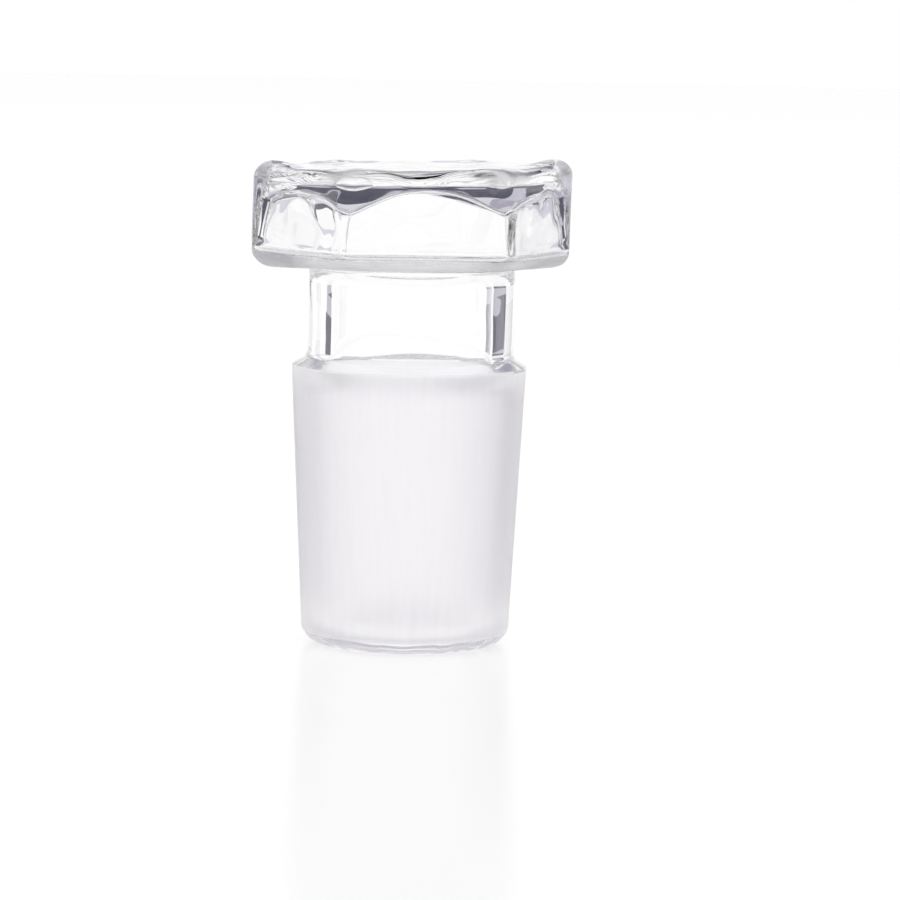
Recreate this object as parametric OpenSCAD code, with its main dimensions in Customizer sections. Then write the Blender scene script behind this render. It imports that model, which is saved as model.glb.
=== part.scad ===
// Hollow glass stopper with a hexagonal head and a ground 29/32 cone.
// It is one piece of clear glass, sealed all round, and stands on its closed foot.
// The upright axis is Z, and z = 0 is the surface that the foot rests on.

/* [Ground cone] */
// Diameter of the ground cone at its large end
cone_d = 29.2; // [27:0.1:40]
// Length of the ground cone
cone_len = 32; // [15:0.5:60]
// Fall in diameter for each millimetre of the cone's length
cone_taper = 0.1; // [0.02:0.01:0.15]
// Thickness of the glass behind the ground face
cone_wall = 2.9; // [1.2:0.1:4.5]

/* [Foot] */
// Height of the clear closed end below the ground cone
foot_h = 2.5; // [1:0.1:6]
// Radius that rounds the edge of the foot
foot_edge_r = 2.4; // [0.6:0.1:4]
// Depth of the shallow dish in the underside of the foot
foot_dish = 0.3; // [0.1:0.05:0.8]
// Width of the flat ring round the dish, which the stopper stands on
foot_ring_w = 1; // [0.4:0.1:2]
// Thickness of the closed end
foot_wall = 1.8; // [1.2:0.1:5]
// Radius that rounds the hollow just above the closed end
hollow_foot_r = 2.2; // [1:0.1:5]

/* [Neck] */
// Diameter of the clear neck
neck_d = 25.6; // [16:0.1:29]
// Height of the neck between the shoulder and the head
neck_len = 11.4; // [4:0.1:30]
// Height of the sloping shoulder between the ground cone and the neck
shoulder_h = 1.7; // [0.5:0.1:6]
// Radius that blends the shoulder into the neck
shoulder_fillet_r = 1.5; // [0.5:0.1:3]
// Radius that blends the neck into the underside of the head
neck_fillet_r = 1; // [0.4:0.1:3]
// Thickness of the glass in the neck
neck_wall = 2.8; // [1.2:0.1:4.5]
// Height over which the hollow narrows from the cone into the neck
hollow_step_h = 3.6; // [1:0.1:8]

/* [Head] */
// Width of the head across its flats
head_flats = 35.3; // [32:0.1:50]
// Height of the head at its six corners
head_h = 12.9; // [10:0.1:20]
// Radius of the six upright corners
head_corner_r = 2.4; // [0.8:0.1:6]
// Radius that rounds the upper and lower edges of the head
head_edge_r = 1.6; // [0.5:0.1:3]
// How far the rim sinks at the middle of each flat
rim_dip = 0.95; // [0.3:0.05:2]
// Angle that the flats are turned from square to the front
head_turn = 6.5; // [0:0.5:30]

/* [Hollow of the head] */
// Thickness of the glass at the bottom of the head's flats
head_wall = 1.05; // [0.8:0.05:4]
// Angle by which the walls of the hollow lean inwards
hollow_lean = 5.2; // [0.5:0.1:10]
// Thickness of the glass in the underside of the head
head_floor_wall = 1.3; // [0.8:0.1:4]
// Thickness of the glass in the middle of the top
head_top_wall = 0.95; // [0.6:0.05:4]
// How far the hollow's six upright corners are trimmed back from sharp
hollow_corner_trim = 0.37; // [0.1:0.01:1]
// Radius that rounds the lower edge of the hollow
hollow_edge_r = 0.6; // [0.3:0.1:2]
// Radius of the lip where the neck opens into the head
hollow_lip_r = 1.5; // [0.4:0.1:3]

/* [Roof of the hollow] */
// How far the nearly level middle of the roof stays inside the hollow's flats
roof_inset = 1.9; // [1:0.1:3.5]
// How far the roof rises to its middle
roof_crown = 0.85; // [0.2:0.05:2]
// Angle at which the roof comes down to the walls
roof_slope = 48; // [35:1:60]
// Radius of the bend between the middle and the slope
roof_bend_r = 1.6; // [0.5:0.1:3]

/* [Hidden] */
$fn = 96;

neck_r = neck_d / 2;
large_r = cone_d / 2;
small_r = large_r - cone_len * cone_taper / 2;

// Heights of the joins, from the foot up
shoulder_z = foot_h + cone_len;
neck_z = shoulder_z + shoulder_h;
head_z = neck_z + neck_len;

// The hollow of the head, from its floor to the middle of its roof
hollow_z = head_z + head_floor_wall;
hollow_h = head_h - rim_dip - head_top_wall - head_floor_wall;
hollow_flats = head_flats - 2 * head_wall;

// Roundings, held to what the glass around them can take
foot_round = min(foot_edge_r, foot_h);
neck_fillet = min(neck_fillet_r, head_flats / 2 - head_edge_r - neck_r);
shoulder_fillet = min(shoulder_fillet_r, 0.5 * neck_len);

// Profile of the roof: trimmed corners up to slope_low_z, then the slope, the bend and the crown
roof_r = hollow_flats / 2 - roof_inset;
bend_z = hollow_h - roof_crown - roof_bend_r;
slope_top_z = bend_z + roof_bend_r * cos(roof_slope);
slope_top_r = roof_r + roof_bend_r * sin(roof_slope);
corner_r = hollow_flats / 2 / cos(30) - hollow_corner_trim;
corner_top_r = corner_r - slope_top_z * tan(hollow_lean);
slope_low_z = slope_top_z - (corner_top_r - slope_top_r) * tan(roof_slope);
crown_r = (pow(roof_r, 2) + pow(roof_crown, 2)) / (2 * roof_crown);

// The dish in the foot, a shallow part of a sphere
dish_reach = small_r - foot_round - foot_ring_w;
dish_r = (pow(dish_reach, 2) + pow(foot_dish, 2)) / (2 * foot_dish);

// The sweep that sinks the rim by rim_dip between two corners
corner_reach = head_flats / 2 / cos(30);
half_flat = corner_reach * sin(30);
dip_r = (pow(half_flat, 2) + pow(rim_dip, 2)) / (2 * rim_dip);

// Radius of the ground cone's face at height z
function cone_r(z) = small_r + (z - foot_h) * cone_taper / 2;

// A cone with a rounded closed end, from low_z to high_z, set back by wall from the ground face
module rounded_cone(low_z, wall, edge_r, high_z = shoulder_z) {
    start_z = low_z + edge_r;
    start_r = cone_r(start_z) - wall;
    translate([0, 0, low_z]) rotate_extrude() intersection() {
        union() {
            square([start_r - edge_r, edge_r]);
            translate([start_r - edge_r, edge_r]) circle(r = edge_r);
        }
        square([start_r, edge_r]);
    }
    translate([0, 0, start_z]) cylinder(h = high_z - start_z, r1 = start_r, r2 = cone_r(high_z) - wall);
}

// A cone from r1 at z1 to r2 at z2, and on up to end_z as a cylinder
module step(z1, r1, z2, r2, end_z) {
    translate([0, 0, z1]) cylinder(h = z2 - z1, r1 = r1, r2 = r2);
    translate([0, 0, z2]) cylinder(h = end_z - z2, r = r2);
}

// The ring of glass that rounds the corner between the shoulder and the neck
module shoulder_ring() {
    turn = atan((large_r - neck_r) / shoulder_h);
    reach = shoulder_fillet * tan(turn / 2);
    low = [neck_r + reach * sin(turn), neck_z - reach * cos(turn)];
    rotate_extrude() difference() {
        polygon([
            [neck_r / 2, low[1]], low, [neck_r, neck_z + reach], [neck_r / 2, neck_z + reach]
        ]);
        translate([neck_r + shoulder_fillet, neck_z + reach]) circle(r = shoulder_fillet);
    }
}

// A ring that widens a cylinder of radius r in a quarter round, up to the plane z
module flare(r, z, round_r) {
    translate([0, 0, z - round_r]) rotate_extrude() difference() {
        translate([r / 2, 0]) square([r / 2 + round_r, round_r]);
        translate([r + round_r, 0]) circle(r = round_r);
    }
}

// A hexagon with round corners
module rounded_hexagon(flats, corner_r) {
    reach = (flats / 2 - corner_r) / cos(30);
    for (corner = [0:5]) rotate(60 * corner) translate([reach, 0]) circle(r = corner_r);
    for (side = [0:2]) rotate(60 * side + 30) square([flats, reach], center = true);
}

// A level bar whose four long edges are rounded; it rests on z = 0 and spans two flats
module rounded_bar(width, height, edge_r) {
    edge_x = width / 2 - edge_r;
    rotate([90, 0, 0]) linear_extrude(2 * width, center = true) {
        translate([-width / 2, edge_r]) square([width, height - 2 * edge_r]);
        translate([-edge_x, 0]) square([2 * edge_x, height]);
        for (x = [-edge_x, edge_x])
            for (z = [edge_r, height - edge_r]) translate([x, z]) circle(r = edge_r);
    }
}

// A hexagonal block, rounded at its corners and edges: three crossed bars share it
module hex_block(flats, height, corner_r, edge_r) {
    intersection() {
        linear_extrude(height) rounded_hexagon(flats, corner_r);
        intersection_for (side = [0:2]) rotate(60 * side + 30) rounded_bar(flats, height, edge_r);
    }
}

// What the rim's dips take away: three level cylinders, each over two flats
module rim_dips() {
    for (side = [0:2])
        rotate(60 * side + 30) translate([0, 0, head_h - rim_dip + dip_r]) rotate([0, 90, 0])
            cylinder(r = dip_r, h = 3 * head_flats, center = true, $fn = 360);
}

// A level bar that leans in on both sides, with its two lower edges rounded
module leaning_bar(width, height, lean, edge_r) {
    reach = edge_r / tan(45 - lean / 2);
    side_x = width / 2 - reach * sin(lean);
    rotate([90, 0, 0]) linear_extrude(2 * width, center = true) {
        polygon([
            [reach - width / 2, 0], [width / 2 - reach, 0], [side_x, reach * cos(lean)],
            [width / 2 - height * tan(lean), height], [height * tan(lean) - width / 2, height],
            [-side_x, reach * cos(lean)]
        ]);
        for (x = [reach - width / 2, width / 2 - reach]) translate([x, edge_r]) circle(r = edge_r);
    }
}

// The hollow's trimmed corners, sloping roof, bend and crown, turned round the axis
module roof() {
    rotate_extrude() {
        polygon([
            [0, 0], [corner_r, 0], [corner_r - slope_low_z * tan(hollow_lean), slope_low_z],
            [slope_top_r, slope_top_z], [0, slope_top_z]
        ]);
        translate([roof_r, bend_z]) circle(r = roof_bend_r);
        translate([0, bend_z]) square([roof_r, roof_bend_r]);
        intersection() {
            translate([0, hollow_h - crown_r]) circle(r = crown_r, $fn = 720);
            translate([0, bend_z]) square([roof_r, roof_bend_r + roof_crown]);
        }
    }
}

module outside() {
    difference() {
        rounded_cone(0, 0, foot_round);
        translate([0, 0, foot_dish - dish_r]) sphere(r = dish_r, $fn = 720);
    }
    step(shoulder_z, large_r, neck_z, neck_r, head_z + head_edge_r);
    shoulder_ring();
    flare(neck_r, head_z, neck_fillet);
    translate([0, 0, head_z]) rotate(head_turn) difference() {
        hex_block(head_flats, head_h, head_corner_r, head_edge_r);
        rim_dips();
    }
}

module hollow() {
    bore_r = neck_r - neck_wall;
    step_z = neck_z - hollow_step_h;
    rounded_cone(foot_wall, cone_wall, hollow_foot_r, step_z);
    step(step_z, cone_r(step_z) - cone_wall, neck_z, bore_r, hollow_z + hollow_edge_r);
    flare(bore_r, hollow_z, hollow_lip_r);
    translate([0, 0, hollow_z]) rotate(head_turn) intersection() {
        roof();
        intersection_for (side = [0:2]) rotate(60 * side + 30)
            leaning_bar(hollow_flats, hollow_h, hollow_lean, hollow_edge_r);
    }
}

module stopper() color("aliceblue", 0.5) {
    difference() {
        outside();
        hollow();
    }
}

stopper();
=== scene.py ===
"""Looks of the hollow glass stopper: blown glass with a ground cone, on a pale glossy table.

Sizes are in millimetres inside the shape functions and become metres when a mesh is made. A
profile is a list of (radius, height), from the middle of the foot to the middle of the top, and a
ring is (radius, height, slot). Each of these is one number, or one for every vertex round the ring.
"""

import math

import bpy
import numpy as np
from mathutils import Matrix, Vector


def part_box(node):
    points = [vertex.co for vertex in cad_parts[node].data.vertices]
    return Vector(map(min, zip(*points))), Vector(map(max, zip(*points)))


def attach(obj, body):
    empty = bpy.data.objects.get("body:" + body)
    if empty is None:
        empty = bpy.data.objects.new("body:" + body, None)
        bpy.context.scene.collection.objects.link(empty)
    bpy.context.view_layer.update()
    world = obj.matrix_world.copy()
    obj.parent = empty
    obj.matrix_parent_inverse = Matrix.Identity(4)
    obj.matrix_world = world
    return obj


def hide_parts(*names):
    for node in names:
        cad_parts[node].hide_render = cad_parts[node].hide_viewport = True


MM = 0.001
TURN = 2 * math.pi
SIXTH = TURN / 6

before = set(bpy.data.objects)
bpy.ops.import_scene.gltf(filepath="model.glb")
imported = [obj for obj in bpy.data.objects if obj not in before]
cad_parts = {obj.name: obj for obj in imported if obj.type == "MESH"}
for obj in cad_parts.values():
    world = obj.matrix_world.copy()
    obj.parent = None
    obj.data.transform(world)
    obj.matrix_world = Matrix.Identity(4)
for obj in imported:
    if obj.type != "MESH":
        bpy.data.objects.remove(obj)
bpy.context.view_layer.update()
foot_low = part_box("stopper")[0]

# ---------------------------------------------------------------- sizes, in mm

# outside, as in the CAD model
CONE_Z, SHOULDER_Z = 2.5, 34.5     # ends of the ground cone
CONE_LARGE_R, CONE_SMALL_R = 14.6, 13.0
NECK_Z, NECK_R = 36.2, 12.8
HEAD_Z, HEAD_R = 47.6, 17.65       # underside of the head, and half its width over the flats
HEAD_TURN = math.radians(6.5)
RIM_Z = 59.55                      # top of the rim in the middle of each flat
TOP_Z = RIM_Z - 0.1                # the level middle of the top
FOOT_EDGE, FOOT_HOLLOW = 2.4, 0.3  # rounding of the foot, and depth of the dish under it
CONE_EDGE = 0.35                   # rounding at the top of the ground cone
SHOULDER_FILLET, NECK_FILLET = 1.5, 1.0
LOWER_EDGE = 1.6                   # rounding of the head's lower edge
RIM_EDGE, CORNER_EDGE = 1.5, 0.6   # rounding of the rim, and what is added to it at a corner

# hollow
CONE_WALL, NECK_WALL, FOOT_WALL = 2.9, 2.8, 1.8
HOLLOW_FOOT, HOLLOW_LIP, HOLLOW_EDGE = 2.2, 1.5, 0.6  # roundings, from the bottom up
NARROW_Z, NARROW_H = SHOULDER_Z - 3, 5.0              # where the hollow narrows into the neck
HOLLOW_Z, HOLLOW_R, HOLLOW_LEAN = 48.9, 16.6, 0.8     # floor, half width and lean in the head
CHAMFER = math.radians(48)                            # slope of the roof
BEND = 1.6                                            # radius between the slope and the ceiling
CEILING_R, CEILING_Z, CROWN = 14.7, 57.75, 0.9

# what hand work leaves
CORNER_RISES = (0.75, 0.2, 0.2, 0.75, 0.35, 0.4)  # how far the rim climbs to each corner
SAG_LEFT, SAG_RIGHT = 0.65, 0.35                  # of the underside, at the ends of the head
FOOT_RIPPLE = (0.04, 0.06, 0.07)                  # under the foot, then inwards and up at its edge
WOBBLE_Z = (0, 33, 38, 45, 49.5, 53)              # heights, and the amount of wobble at each
WOBBLE = (0.006, 0.006, 0.012, 0.012, 0.012, 0.04)
WAVES, WAVE_LENGTHS = 7, (3.5, 10)                # how many add up in each direction
WAVE_SUM = 2.6                                    # what their sum is divided by
SHIFT_Z = (34, 38, 46, 48.5, 60)                  # heights, and the shift to the right at each
SHIFT = (0, 0.22, 0.22, 0.0, 0.25)
TILT, TILT_Z, TILT_H = 0.018, 50, 8               # how the top climbs to the right, and from where

AROUND = 360                                      # vertices round each ring
SHARP_OUT, SHARP_IN = 26, 70                      # how sharp the hexagon's corners are

CLEAR, GROUND, TOOLED, FOOT = 0, 1, 2, 3          # material slots

angles = np.arange(AROUND) * TURN / AROUND        # 0 is the right, and the front is at -90 degrees
turned = angles - HEAD_TURN                       # the same from the head's right corner


# ---------------------------------------------------------------- glass surfaces

def arc(centre_r, centre_z, radius, start, end, steps):
    """Points (r, z) on a circle of the profile, from start to end in degrees."""
    bends = [math.radians(start + (end - start) * i / steps) for i in range(steps + 1)]
    return [(centre_r + radius * math.cos(a), centre_z + radius * math.sin(a)) for a in bends]


def line(start, end, steps):
    """Points (r, z) on a straight stretch of the profile, without its first point."""
    return [
        (start[0] + (end[0] - start[0]) * i / steps, start[1] + (end[1] - start[1]) * i / steps)
        for i in range(1, steps + 1)
    ]


def as_rings(profile, slot=CLEAR):
    return [(r, z, slot) for r, z in profile]


def smooth(x):
    """Goes from 0 to 1 as x does, level at both ends."""
    x = np.clip(x, 0, 1)
    return x * x * (3 - 2 * x)


def hexagon(sharpness):
    """Radius at each angle of a soft-cornered hexagon whose flats lie at a distance of 1."""
    total = np.zeros(AROUND)
    for side in range(6):
        towards = np.cos(turned - (side + 0.5) * TURN / 6)
        total += np.clip(towards, 0, None) ** sharpness
    return total ** (-1 / sharpness)


def corner_share():
    """At each angle, 0 in the middle of a flat and 1 at a corner of the head."""
    from_middle = turned % SIXTH - SIXTH / 2
    return (np.tan(from_middle) / math.tan(SIXTH / 2)) ** 2


def wobble(points, seed):
    """Small smooth shifts of the surface, as hand-shaped glass has."""
    rng = np.random.default_rng(seed)
    shift = np.zeros_like(points)
    for axis in range(3):
        for _ in range(WAVES):
            direction = rng.normal(size=3)
            direction *= TURN / rng.uniform(*WAVE_LENGTHS) / np.linalg.norm(direction)
            shift[:, axis] += np.sin(points @ direction + rng.uniform(0, TURN)) / WAVE_SUM
    return points + shift * np.interp(points[:, 2], WOBBLE_Z, WOBBLE)[:, None]


def settle(points):
    """Neck and head stand a little off the cone's axis, and the top climbs to the right."""
    points[:, 0] += np.interp(points[:, 2], SHIFT_Z, SHIFT)
    points[:, 2] += TILT * points[:, 0] * smooth((points[:, 2] - TILT_Z) / TILT_H)
    return points


def lathe(rings, bottom_z, top_z, seed, flip=False):
    """A closed surface through the rings: points in metres, faces, and a slot for each face."""
    points = [np.array([[0, 0, bottom_z]])]
    for r, z, _ in rings:
        r, z = np.broadcast_to(r, AROUND), np.broadcast_to(z, AROUND)
        points.append(np.stack([r * np.cos(angles), r * np.sin(angles), z], 1))
    points.append(np.array([[0, 0, top_z]]))
    points = np.concatenate(points).astype(float)
    ring_slots = [np.broadcast_to(slot, AROUND).tolist() for _, _, slot in rings]
    faces, slots = [], []
    last = len(points) - 1
    top = 1 + (len(rings) - 1) * AROUND
    for i in range(AROUND):
        j = (i + 1) % AROUND
        faces.append((0, 1 + j, 1 + i))
        slots.append(ring_slots[0][i])
        for k in range(len(rings) - 1):
            a, b = 1 + k * AROUND, 1 + (k + 1) * AROUND
            faces.append((a + i, a + j, b + j, b + i))
            slots.append(ring_slots[k + 1][i])
        faces.append((top + i, top + j, last))
        slots.append(ring_slots[-1][i])
    if flip:
        faces = [face[::-1] for face in faces]
    return settle(wobble(points, seed)) * MM, faces, slots


def foot_rings():
    """The dish under the foot and its rounded edge, both rippled where the glass was sealed."""
    rng = np.random.default_rng(21)
    ripple = np.zeros(AROUND)
    for waves in (7, 11, 16, 19, 23, 29, 34):
        ripple += np.sin(waves * angles + rng.uniform(0, TURN)) * rng.uniform(0.5, 1)
    ripple = 0.5 + 0.5 * np.tanh(ripple)
    under, inwards, up = FOOT_RIPPLE
    dish_r = 8.5
    rings = [
        (r, FOOT_HOLLOW * depth + under * ripple * r / dish_r, CLEAR)
        for r, depth in ((3, 0.85), (6, 0.5), (dish_r, 0.12))
    ]
    edge = arc(CONE_SMALL_R - FOOT_EDGE, FOOT_EDGE, FOOT_EDGE, -90, 0, 14)
    polished = 12  # this many of the edge's points stay clear of the grinding
    for i, (r, z) in enumerate(edge[:polished]):
        fade = 1 - i / polished
        rings.append((r - inwards * ripple * fade, z + up * ripple * fade, FOOT))
    return rings + as_rings(edge[polished:], GROUND)


def body_rings():
    """The ground cone, the shoulder and the neck, up to the underside of the head."""
    rings = as_rings(line((CONE_SMALL_R, CONE_Z), (CONE_LARGE_R, SHOULDER_Z), 10), GROUND)
    # the cone's upper edge is ground all round, except for a stretch of 46 degrees on the right
    edge_slot = np.where(np.cos(angles + math.radians(5)) < 0.92, GROUND, CLEAR)
    edge = arc(CONE_LARGE_R - CONE_EDGE, SHOULDER_Z + 0.1, CONE_EDGE, 0, 45, 5)
    rings += as_rings(edge, edge_slot)
    straight_z, end_z = NECK_Z + 0.5, HEAD_Z - NECK_FILLET
    rings += as_rings(arc(NECK_R + SHOULDER_FILLET, straight_z, SHOULDER_FILLET, 225, 180, 6))
    rings += as_rings(line((NECK_R, straight_z), (NECK_R, end_z), 6))
    fillet = arc(NECK_R + NECK_FILLET, end_z, NECK_FILLET, 180, 90, 8)
    return rings + as_rings(fillet[:4]) + as_rings(fillet[4:], TOOLED)


def head_rings():
    """The head: its sagging underside, its flats, and its rim round a slightly sunken top."""
    hexed = hexagon(SHARP_OUT)
    share = corner_share()
    corner = np.round(turned / SIXTH).astype(int) % 6
    rim_z = RIM_Z + np.array(CORNER_RISES)[corner] * share
    rim_edge = RIM_EDGE + CORNER_EDGE * share
    across = np.cos(turned)
    sag = np.where(across < 0, SAG_LEFT, SAG_RIGHT) * across ** 4

    # the underside turns from round at the neck into a hexagon
    rings = [
        (r * (1 + part * (hexed - 1)), HEAD_Z - sag * part, TOOLED)
        for r, part in ((14.4, 0.25), (14.9, 0.5), (15.4, 0.75), (15.8, 1.0))
    ]
    steps = 12
    lower = arc(HEAD_R - LOWER_EDGE, HEAD_Z + LOWER_EDGE, LOWER_EDGE, -90, 0, steps)
    for i, (r, z) in enumerate(lower):
        slot = TOOLED if i < steps - 1 else CLEAR
        rings.append((r * hexed, z - sag * (1 - i / steps), slot))

    steps = 14
    for i in range(1, steps + 1):
        rise = (rim_z - rim_edge - HEAD_Z - LOWER_EDGE) * i / steps
        rings.append((HEAD_R * hexed, HEAD_Z + LOWER_EDGE + rise, CLEAR))
    for i in range(1, steps + 1):
        a = math.radians(90 * i / steps)
        r = (HEAD_R - rim_edge * (1 - math.cos(a))) * hexed
        rings.append((r, rim_z - rim_edge * (1 - math.sin(a)), CLEAR))

    # the top is level over the middle 72 percent, then climbs to the rim
    steps = 22
    for i in range(1, steps):
        part = 1 - i / steps
        z = TOP_Z + (rim_z - TOP_Z) * smooth((part - 0.72) / 0.28)
        rings.append(((HEAD_R - rim_edge) * hexed * part, z, CLEAR))
    return rings


def outside():
    """The outer surface, from the middle of the foot to the middle of the top."""
    return lathe(foot_rings() + body_rings() + head_rings(), FOOT_HOLLOW, TOP_Z, seed=3)


def roof_profile(hexed):
    """The head's hollow above its lower edge: leaning walls, a sloping roof and a crowned ceiling.

    The roof is a limit that varies round the axis, and the walls, a hexagon, stop softly at it.
    """
    across, depth = np.cos(turned), np.sin(turned)
    ends = (0.5 + 0.5 * np.cos(2 * turned)) ** 2  # 1 at the left and right ends
    sides = smooth((0.9 - np.abs(depth)) / 0.4)  # 1 over the side walls, 0 over front and back
    right = np.clip(np.cos(turned + TURN / 12), 0, 1)
    back = np.clip(depth, 0, 1) ** 2
    back_left = np.clip(np.cos(turned - math.radians(118)), 0, 1) ** 8

    # the roof starts further in over the side walls than over the front
    ceiling_r = CEILING_R - (0.4 + 0.4 * right) * sides * (1 - ends ** 2)
    bend_r = ceiling_r + BEND * math.sin(CHAMFER)
    bend_z = CEILING_Z - BEND * (1 - math.cos(CHAMFER))
    slope_r = 19.2 - (2.35 + 0.35 * across) * ends - 1.9 * back - 0.9 * back_left
    slope_z = bend_z - (slope_r - bend_r) * math.tan(CHAMFER)
    low_r = 19.6 - 1.0 * ends - 0.6 * back

    limits = line((low_r, HOLLOW_Z + HOLLOW_EDGE), (slope_r, slope_z), 10)
    limits += line((slope_r, slope_z), (bend_r, bend_z), 20)
    steps = 16
    for i in range(1, steps + 1):
        a = CHAMFER * (1 - i / steps)
        r = bend_r - BEND * (math.sin(CHAMFER) - math.sin(a))
        limits.append((r, CEILING_Z - BEND * (1 - math.cos(a))))
    steps = 12
    for i in range(1, steps):
        part = 1 - i / steps
        limits.append((ceiling_r * part, CEILING_Z + CROWN * (1 - part ** 2)))

    sharp = 60 + 260 * np.abs(depth) ** 5
    profile = []
    for limit, z in limits:
        wall = hexed * (1 - HOLLOW_LEAN / HOLLOW_R * (z - HOLLOW_Z) / (CEILING_Z - HOLLOW_Z))
        profile.append((limit * (1 + (wall / limit) ** -sharp) ** (-1 / sharp), z))
    return profile


def inside():
    """The hollow: cone, narrowing, bore of the neck, and the hexagonal space in the head."""
    small_r, large_r = CONE_SMALL_R - CONE_WALL, CONE_LARGE_R - CONE_WALL
    bore_r = NECK_R - NECK_WALL
    hexed = HOLLOW_R * hexagon(SHARP_IN)
    profile = [(2, FOOT_WALL), (4, FOOT_WALL)]
    profile += arc(small_r - HOLLOW_FOOT, FOOT_WALL + HOLLOW_FOOT, HOLLOW_FOOT, -90, 0, 12)
    profile += line((small_r, FOOT_WALL + HOLLOW_FOOT), (large_r, NARROW_Z), 10)
    steps = 19
    for i in range(1, steps):
        r = large_r + (bore_r - large_r) * smooth(i / steps)
        profile.append((r, NARROW_Z + NARROW_H * i / steps))
    profile += line((bore_r, NARROW_Z + NARROW_H), (bore_r, HOLLOW_Z - HOLLOW_LIP), 6)
    profile += arc(bore_r + HOLLOW_LIP, HOLLOW_Z - HOLLOW_LIP, HOLLOW_LIP, 180, 90, 8)
    for r, part in ((12.2, 0.25), (12.9, 0.5), (13.6, 0.75)):
        profile.append((r * (1 + part * (hexed / HOLLOW_R - 1)), HOLLOW_Z))
    for r, z in arc(HOLLOW_R - HOLLOW_EDGE, HOLLOW_Z + HOLLOW_EDGE, HOLLOW_EDGE, -90, 0, 10):
        profile.append((r / HOLLOW_R * hexed, z))
    profile += roof_profile(hexed)
    return lathe(as_rings(profile), FOOT_WALL, CEILING_Z + CROWN, seed=8, flip=True)


def bubble(centre, half_sizes, turn, seed):
    """A closed flattened void in the glass, slightly bent."""
    rng = np.random.default_rng(seed)
    around, up = 32, 16
    points, faces = [], []
    for k in range(1, up):
        e = math.pi * (k / up - 0.5)
        for i in range(around):
            a = TURN * i / around
            points.append((math.cos(e) * math.cos(a), math.cos(e) * math.sin(a), math.sin(e)))
    points += [(0, 0, -1), (0, 0, 1)]
    points = np.array(points) * half_sizes
    points[:, 2] += 0.04 * np.sin(points[:, 0] * 2.2 + rng.uniform(0, TURN))
    c, s = math.cos(turn), math.sin(turn)
    points = points @ np.array([[c, s, 0], [-s, c, 0], [0, 0, 1]]) + centre
    low, high = len(points) - 2, len(points) - 1
    top = (up - 2) * around
    for i in range(around):
        j = (i + 1) % around
        faces.append((low, i, j))
        for k in range(up - 2):
            a, b = k * around, (k + 1) * around
            faces.append((a + i, b + i, b + j, a + j))
        faces.append((high, top + j, top + i))
    return settle(points) * MM, faces, [CLEAR] * len(faces)


def make_mesh(name, parts, materials):
    """One object from several closed surfaces, each given as points, faces and slots."""
    points, faces, slots = [], [], []
    for part_points, part_faces, part_slots in parts:
        start = len(points)
        points.extend(part_points.tolist())
        faces.extend([tuple(start + v for v in face) for face in part_faces])
        slots.extend(part_slots)
    mesh = bpy.data.meshes.new(name)
    mesh.from_pydata(points, [], faces)
    for material in materials:
        mesh.materials.append(material)
    mesh.polygons.foreach_set("material_index", slots)
    mesh.polygons.foreach_set("use_smooth", [True] * len(faces))
    mesh.update()
    piece = bpy.data.objects.new(name, mesh)
    bpy.context.scene.collection.objects.link(piece)
    return piece


# ---------------------------------------------------------------- materials

GLASS_IOR = 1.473
MIX_SHARE, MIX_FIRST, MIX_SECOND, MIX_RESULT = 0, 6, 7, 2  # sockets of a Mix node for colours


def principled(name, **inputs):
    """A material and its shader. Where a node is linked later, the value here is a fallback."""
    material = bpy.data.materials.new(name)
    material.use_nodes = True
    shader = material.node_tree.nodes["Principled BSDF"]
    for key, value in inputs.items():
        shader.inputs[key.replace("_", " ")].default_value = value
    return material, shader


def emptied_material(name):
    material = bpy.data.materials.new(name)
    material.use_nodes = True
    material.node_tree.nodes.clear()
    return material


def maths(tree, operation, *values):
    """A Math node's result. Each value is a socket or a plain number."""
    node = tree.nodes.new("ShaderNodeMath")
    node.operation = operation
    for socket, value in zip(node.inputs, values):
        if isinstance(value, bpy.types.NodeSocket):
            tree.links.new(value, socket)
        else:
            socket.default_value = value
    return node.outputs[0]


def spread(tree, value, low, high, to_low=0.0, to_high=1.0):
    """Goes from to_low to to_high while the value goes from low to high, and no further."""
    node = tree.nodes.new("ShaderNodeMapRange")
    tree.links.new(value, node.inputs["Value"])
    node.inputs["From Min"].default_value = low
    node.inputs["From Max"].default_value = high
    node.inputs["To Min"].default_value = to_low
    node.inputs["To Max"].default_value = to_high
    return node.outputs[0]


def mixed(tree, share, first, second):
    """A colour from first to second, as share goes from 0 to 1."""
    node = tree.nodes.new("ShaderNodeMix")
    node.data_type = "RGBA"
    node.inputs[MIX_FIRST].default_value = (*first, 1)
    node.inputs[MIX_SECOND].default_value = (*second, 1)
    tree.links.new(share, node.inputs[MIX_SHARE])
    return node.outputs[MIX_RESULT]


def noise(tree, place, scale, detail):
    node = tree.nodes.new("ShaderNodeTexNoise")
    node.inputs["Scale"].default_value = scale
    node.inputs["Detail"].default_value = detail
    tree.links.new(place, node.inputs["Vector"])
    return node.outputs["Fac"]


def object_place(tree):
    """The place on the object, in metres, as one socket and as its x, y and z."""
    place = tree.nodes.new("ShaderNodeTexCoord").outputs["Object"]
    axes = tree.nodes.new("ShaderNodeSeparateXYZ")
    tree.links.new(place, axes.inputs[0])
    return place, axes.outputs


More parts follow.
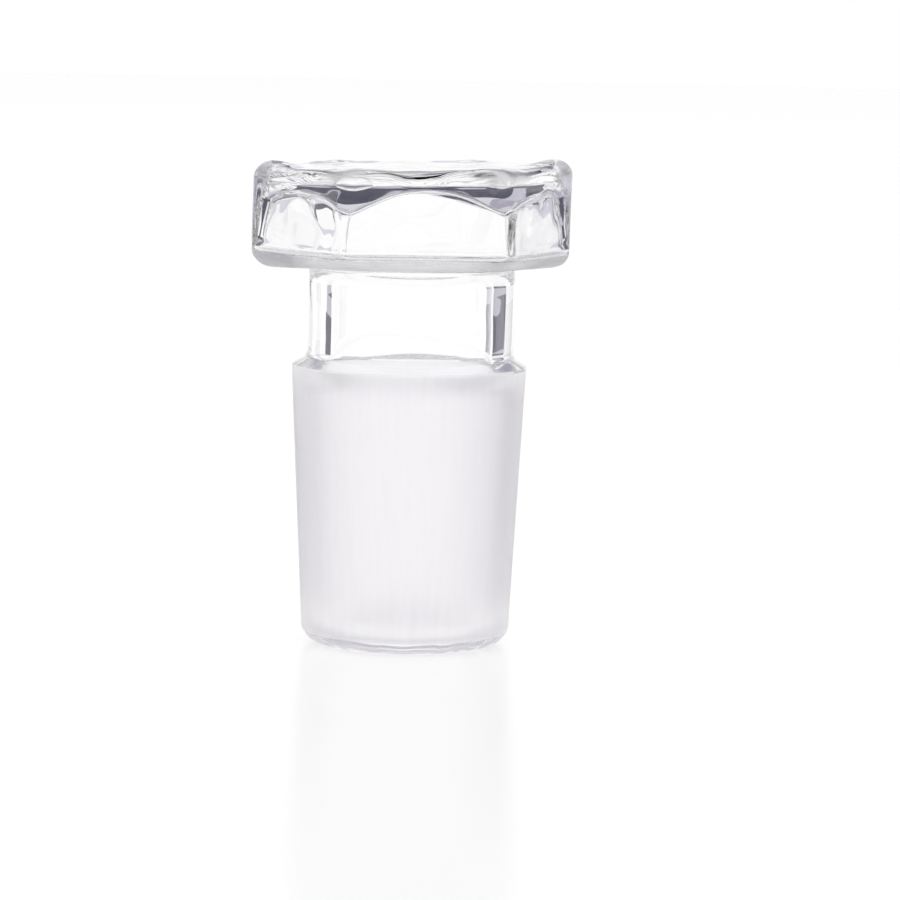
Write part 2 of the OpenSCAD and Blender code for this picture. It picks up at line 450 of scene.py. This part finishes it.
def clear_glass():
    """Polished glass, scuffed at the rim's corners, with painted shade greying its colour high on
    the head's two ends.
    """
    material, shader = principled(
        "clear_glass", Base_Color=(1, 1, 1, 1), Roughness=0.0, IOR=GLASS_IOR,
        Transmission_Weight=1.0
    )
    tree = material.node_tree
    place, axes = object_place(tree)

    level = tree.nodes.new("ShaderNodeVectorMath")
    level.operation = "MULTIPLY"
    level.inputs[1].default_value = (1, 1, 0)
    tree.links.new(place, level.inputs[0])
    from_axis = tree.nodes.new("ShaderNodeVectorMath")
    from_axis.operation = "LENGTH"
    tree.links.new(level.outputs[0], from_axis.inputs[0])
    at_corners = spread(tree, from_axis.outputs["Value"], 17.6 * MM, 18.6 * MM)
    at_rim = spread(tree, axes["Z"], 57.0 * MM, 59.0 * MM)
    scuffed = maths(tree, "MULTIPLY", at_corners, at_rim)
    tree.links.new(maths(tree, "MULTIPLY", scuffed, 0.22), shader.inputs["Roughness"])

    at_ends = spread(tree, maths(tree, "ABSOLUTE", axes["X"]), 17.2 * MM, 19.2 * MM)
    high_up = spread(tree, axes["Z"], 52.0 * MM, 56.0 * MM)
    painted_shade = maths(tree, "MULTIPLY", at_ends, high_up)
    # painted shade: the colour turns grey high on the head's two ends, standing in for the shade
    # seen in the glass there
    tree.links.new(mixed(tree, painted_shade, (1, 1, 1), (0.5, 0.48, 0.58)), shader.inputs["Base Color"])
    return material


def clear_from_inside(tree, share, shader):
    """Light that reaches the surface from inside the glass passes out through it in full.

    From outside only the share does, a socket or a plain number.
    """
    side = tree.nodes.new("ShaderNodeNewGeometry")
    through = maths(tree, "MAXIMUM", share, side.outputs["Backfacing"])
    tree.links.new(through, shader.inputs["Transmission Weight"])


def ground_glass():
    """Finely ground glass: rough, faintly streaked upright, and whiter towards both ends."""
    material, shader = principled(
        "ground_glass", Base_Color=(0.97, 0.955, 0.975, 1), IOR=GLASS_IOR,
        Transmission_Weight=0.93
    )
    tree = material.node_tree
    place, axes = object_place(tree)

    stretch = tree.nodes.new("ShaderNodeMapping")
    stretch.inputs["Scale"].default_value = (1500, 1500, 110)
    tree.links.new(place, stretch.inputs["Vector"])
    streaks = noise(tree, stretch.outputs[0], scale=1.0, detail=3.0)
    contrast = spread(tree, streaks, 0.25, 0.75)
    tone = mixed(tree, contrast, (0.925, 0.91, 0.94), (0.985, 0.97, 0.985))
    tree.links.new(tone, shader.inputs["Base Color"])
    tree.links.new(spread(tree, streaks, 0, 1, 0.38, 0.5), shader.inputs["Roughness"])

    by_height = tree.nodes.new("ShaderNodeFloatCurve")
    tree.links.new(spread(tree, axes["Z"], 0, SHOULDER_Z * MM), by_height.inputs["Value"])
    curve = by_height.mapping.curves[0]
    curve.points[0].location = (0.0, 0.5)
    curve.points[1].location = (1.0, 0.45)
    shares = ((0.06, 0.45), (0.13, 0.55), (0.21, 0.82), (0.32, 0.93), (0.86, 0.93), (0.93, 0.7))
    for height, share in shares:
        curve.points.new(height, share)
    by_height.mapping.update()
    clear_from_inside(tree, by_height.outputs[0], shader)

    bump = tree.nodes.new("ShaderNodeBump")
    bump.inputs["Strength"].default_value = 0.35
    bump.inputs["Distance"].default_value = 0.04 * MM
    tree.links.new(noise(tree, place, scale=6500.0, detail=2.0), bump.inputs["Height"])
    tree.links.new(bump.outputs[0], shader.inputs["Normal"])
    return material


def tooled_glass():
    """The underside of the head, left rough by the tool that shaped it."""
    return principled(
        "tooled_glass", Base_Color=(0.97, 0.965, 0.985, 1), Roughness=0.5, IOR=GLASS_IOR,
        Transmission_Weight=1.0
    )[0]


def foot_glass():
    """Fire-polished glass with a slight milky haze."""
    material, shader = principled(
        "foot_glass", Base_Color=(0.97, 0.96, 0.975, 1), Roughness=0.08, IOR=GLASS_IOR,
        Transmission_Weight=0.62
    )
    clear_from_inside(material.node_tree, 0.7, shader)
    return material


def stopper():
    trapped = bubble((-6.9, -16.75, 57.95), (2.1, 0.25, 0.7), math.radians(-4), seed=5)
    materials = [clear_glass(), ground_glass(), tooled_glass(), foot_glass()]  # in slot order
    return make_mesh("stopper_glass", [outside(), inside(), trapped], materials)


glass = stopper()
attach(glass, "root")
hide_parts("stopper")


# ---------------------------------------------------------------- studio

FLAG_CENTRE = 0.05                    # height of the flags' common centre, in m
NEAR, BEHIND, OVER = 0.3, 0.51, 0.52  # distances of the flags from it, in m
FLAG_STEP = 4                         # size of a flag's faces, in degrees


def flag_card(name, colour, soft):
    """A card of one colour in polished glass, another in ground glass, and white in the table.

    Without a colour, polished glass doesn't show it at all.
    """
    material = emptied_material(name)
    tree = material.node_tree
    path = tree.nodes.new("ShaderNodeLightPath")
    ground = tree.nodes.new("ShaderNodeEmission")
    tone = mixed(tree, path.outputs["Transmission Depth"], (1, 1, 1), soft)
    tree.links.new(tone, ground.inputs["Color"])
    if colour:
        polished = tree.nodes.new("ShaderNodeEmission")
        polished.inputs["Color"].default_value = (*colour, 1)
    else:
        polished = tree.nodes.new("ShaderNodeBsdfTransparent")
    card = tree.nodes.new("ShaderNodeMixShader")
    tree.links.new(path.outputs["Is Singular Ray"], card.inputs[0])
    tree.links.new(ground.outputs[0], card.inputs[1])
    tree.links.new(polished.outputs[0], card.inputs[2])
    out = tree.nodes.new("ShaderNodeOutputMaterial")
    tree.links.new(card.outputs[0], out.inputs["Surface"])
    return material


def dome_flag(name, radius, azimuths, elevations, material):
    """Part of a sphere round the object; azimuth runs from straight behind it towards its right.

    Only the glass and the table show it.
    """
    steps_a = max(2, int(abs(azimuths[1] - azimuths[0]) / FLAG_STEP))
    steps_e = max(2, int(abs(elevations[1] - elevations[0]) / FLAG_STEP))
    points, faces = [], []
    for i in range(steps_a + 1):
        a = math.radians(azimuths[0] + (azimuths[1] - azimuths[0]) * i / steps_a)
        for j in range(steps_e + 1):
            e = math.radians(elevations[0] + (elevations[1] - elevations[0]) * j / steps_e)
            points.append((
                radius * math.cos(e) * math.sin(a),
                radius * math.cos(e) * math.cos(a),
                FLAG_CENTRE + radius * math.sin(e),
            ))
    row = steps_e + 1
    for i in range(steps_a):
        for j in range(steps_e):
            a, b = i * row + j, (i + 1) * row + j
            faces.append((a, b, b + 1, a + 1))
    mesh = bpy.data.meshes.new(name)
    mesh.from_pydata(points, [], faces)
    mesh.materials.append(material)
    flag = bpy.data.objects.new(name, mesh)
    bpy.context.scene.collection.objects.link(flag)
    flag.visible_camera = False
    flag.visible_shadow = False
    flag.visible_diffuse = False


dark = flag_card("dark_flag", (0.045, 0.045, 0.08), (0.66, 0.64, 0.71))
grey = flag_card("grey_flag", (0.12, 0.115, 0.16), (0.36, 0.34, 0.43))
pale = flag_card("pale_flag", (0.16, 0.155, 0.21), (0.36, 0.34, 0.43))
silver = flag_card("silver_flag", (0.5, 0.49, 0.56), (0.36, 0.34, 0.43))
left = flag_card("left_flag", (0.12, 0.115, 0.16), (0.42, 0.4, 0.49))
faint = flag_card("faint_flag", (0.66, 0.64, 0.72), (1, 1, 1))
unseen = flag_card("unseen_flag", None, (0.42, 0.4, 0.5))

# low on both sides: the dark bars in the neck, and the grey sides of the ground cone
dome_flag("flag_right", NEAR, (26, 33), (-9.4, -5.5), grey)
dome_flag("flag_middle", NEAR, (33, 46), (-9.4, -5.5), pale)
dome_flag("flag_far", NEAR, (46, 54), (-9.4, -5.5), grey)
dome_flag("flag_right_top", NEAR, (26, 54), (-5.5, 1), silver)
dome_flag("flag_left", NEAR, (-60, -48), (-5.8, 1), left)
dome_flag("flag_left_low", NEAR, (-59, -49), (-9.4, -5.8), silver)
dome_flag("soft_right", NEAR, (20, 60), (1, 50), unseen)
dome_flag("soft_left", NEAR, (-62, -43), (1, 50), unseen)

# behind: the thin outlines in the head's flats
dome_flag("flag_behind", BEHIND, (-39, 17), (14, 30), dark)
dome_flag("flag_behind_low", BEHIND, (4, 27), (10.5, 14), dark)
dome_flag("flag_faint", BEHIND, (-60, 60), (7, 10.5), faint)

# all round above, with two pale openings: the dark band under the rim and the gaps in it
above = (
    (-180, -38, 20, 85), (-38, -8, 20, 30), (-38, -8, 60, 85), (-8, 30, 20, 85),
    (30, 72, 20, 42), (30, 72, 62, 85), (72, 180, 20, 85),
)
for i, (first, last, low, high) in enumerate(above):
    dome_flag(f"flag_above_{i + 1}", OVER, (first, last), (low, high), dark)
dome_flag("opening_left", OVER, (-38, -8), (30, 60), silver)
dome_flag("opening_right", OVER, (30, 72), (42, 62), silver)


def floor():
    """A white table top with a soft gloss, a hair below the foot."""
    half = 3.8
    z = foot_low[2] - 0.05 * MM
    mesh = bpy.data.meshes.new("table")
    corners = [(-half, -half, z), (half, -half, z), (half, half, z), (-half, half, z)]
    mesh.from_pydata(corners, [], [(0, 1, 2, 3)])
    material = emptied_material("white_acrylic")
    nodes, links = material.node_tree.nodes, material.node_tree.links
    matt = nodes.new("ShaderNodeBsdfDiffuse")
    matt.inputs["Color"].default_value = (0.2, 0.2, 0.2, 1)
    glow = nodes.new("ShaderNodeEmission")
    glow.inputs["Strength"].default_value = 0.83
    lit = nodes.new("ShaderNodeAddShader")
    links.new(matt.outputs[0], lit.inputs[0])
    links.new(glow.outputs[0], lit.inputs[1])
    gloss = nodes.new("ShaderNodeBsdfGlossy")
    gloss.inputs["Color"].default_value = (1, 1, 1, 1)
    gloss.inputs["Roughness"].default_value = 0.2
    fresnel = nodes.new("ShaderNodeFresnel")
    fresnel.inputs["IOR"].default_value = 1.2
    sheen = nodes.new("ShaderNodeMixShader")
    links.new(fresnel.outputs[0], sheen.inputs[0])
    links.new(lit.outputs[0], sheen.inputs[1])
    links.new(gloss.outputs[0], sheen.inputs[2])
    out = nodes.new("ShaderNodeOutputMaterial")
    links.new(sheen.outputs[0], out.inputs["Surface"])
    mesh.materials.append(material)
    table = bpy.data.objects.new("table", mesh)
    bpy.context.scene.collection.objects.link(table)


floor()

world = bpy.data.worlds.new("studio")
bpy.context.scene.world = world
world.use_nodes = True
world.node_tree.nodes["Background"].inputs["Color"].default_value = (1, 1, 1, 1)
world.node_tree.nodes["Background"].inputs["Strength"].default_value = 1.0


# ---------------------------------------------------------------- camera

CAMERA_PLACE = (5.3, -481, 79)  # in mm
CAMERA_DROP = 6.5               # how far it looks down, in degrees
CAMERA_ROLL = math.radians(1.06)


def camera():
    data = bpy.data.cameras.new("camera")
    cam = bpy.data.objects.new("camera", data)
    bpy.context.scene.collection.objects.link(cam)
    data.sensor_width = 36
    data.lens = 155
    data.clip_start, data.clip_end = 0.01, 10
    cam.location = [v * MM for v in CAMERA_PLACE]
    cam.rotation_mode = "XYZ"
    tilt = Matrix.Rotation(math.radians(90 - CAMERA_DROP), 4, "X")
    cam.rotation_euler = (tilt @ Matrix.Rotation(CAMERA_ROLL, 4, "Z")).to_euler("XYZ")
    bpy.context.scene.camera = cam


camera()
bpy.context.scene.view_settings.view_transform = "Standard"
bpy.context.scene.cycles.max_bounces = 32
bpy.context.scene.cycles.transmission_bounces = 32
bpy.context.scene.cycles.glossy_bounces = 16
